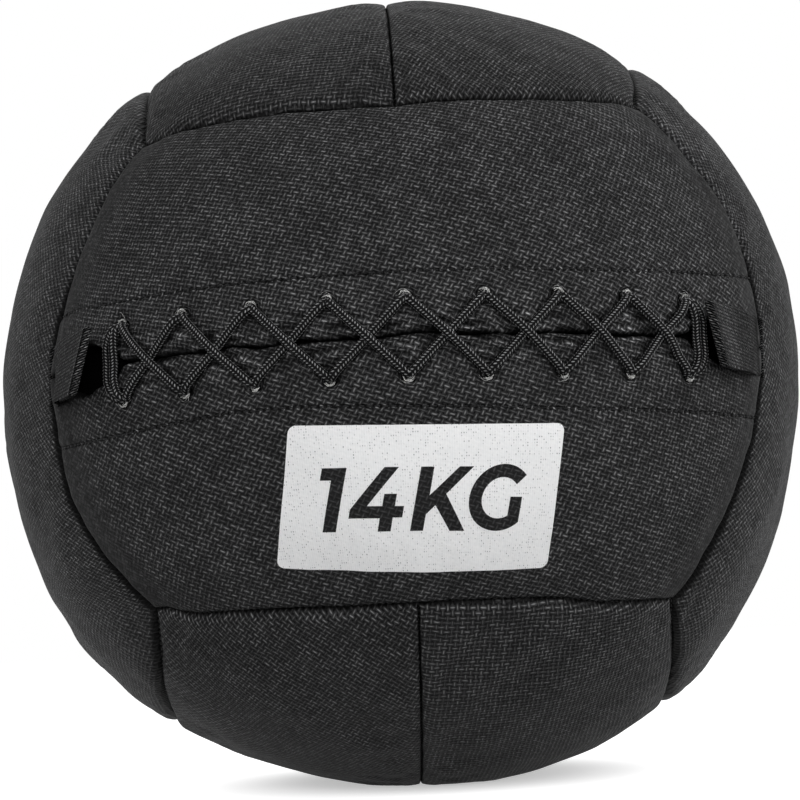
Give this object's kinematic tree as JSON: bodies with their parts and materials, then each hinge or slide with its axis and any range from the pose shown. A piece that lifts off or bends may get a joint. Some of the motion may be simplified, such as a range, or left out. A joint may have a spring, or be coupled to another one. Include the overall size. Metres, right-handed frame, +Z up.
{
  "type": "wall ball",
  "caption": "Soft stuffed wall ball with a sewn panel cover, a laced front slit, a folded webbing loop at each end of the slit and a weighted core.",
  "frame": {"origin": "on the floor under the ball's centre", "axes": "+Z up, the laced face looks along -Y, +X is the viewer's right when facing the lacing"},
  "size_m": [0.3486, 0.355, 0.3441],
  "materials": {
    "cover": "coated plain weave, black, satin",
    "hem": "black lining cloth",
    "eyelet": "white thread, frayed",
    "lace": "black round braid with a slight shine",
    "webbing": "black ribbed webbing",
    "liner": "grey bag cloth",
    "wadding": "white fibre wadding",
    "core_bag": "plain canvas",
    "sand": "loose iron grains"
  },
  "bodies": {
    "ball": {"panel_front_lower": "cover", "panel_front_upper": "cover", "panel_back_lower": "cover", "panel_back_upper": "cover", "panel_top_left": "cover", "panel_top_right": "cover", "panel_bottom_left": "cover", "panel_bottom_right": "cover", "panel_left_front": "cover", "panel_left_back": "cover", "panel_right_front": "cover", "panel_right_back": "cover", "hem_facing_lower": "hem", "hem_facing_upper": "hem", "closure_tongue": "hem", "eyelet_lower_1": "eyelet", "eyelet_lower_2": "eyelet", "eyelet_lower_3": "eyelet", "eyelet_lower_4": "eyelet", "eyelet_lower_5": "eyelet", "eyelet_lower_6": "eyelet", "eyelet_lower_7": "eyelet", "eyelet_lower_8": "eyelet", "eyelet_lower_9": "eyelet", "eyelet_upper_1": "eyelet", "eyelet_upper_2": "eyelet", "eyelet_upper_3": "eyelet", "eyelet_upper_4": "eyelet", "eyelet_upper_5": "eyelet", "eyelet_upper_6": "eyelet", "eyelet_upper_7": "eyelet", "eyelet_upper_8": "eyelet", "eyelet_upper_9": "eyelet", "lace_outer": "lace", "lace_inner": "lace", "webbing_tail_left": "webbing", "webbing_tail_right": "webbing", "inner_liner": "liner", "wadding_lower": "wadding", "wadding_upper": "wadding", "core_bag": "core_bag", "core_tie": "lace", "iron_sand": "sand"},
    "loop_left": {"webbing_loop_left": "webbing"},
    "loop_right": {"webbing_loop_right": "webbing"}
  },
  "joints": [
    {"name": "loop_left_hinge", "type": "hinge", "parent": "ball", "child": "loop_left", "pos_m": [-0.14522, -0.10349, 0.17073], "axis": [0, 0, -1], "range_deg": [-9, 161]},
    {"name": "loop_right_hinge", "type": "hinge", "parent": "ball", "child": "loop_right", "pos_m": [0.14522, -0.10349, 0.17073], "axis": [0, 0, 1], "range_deg": [-3, 167]}
  ]
}
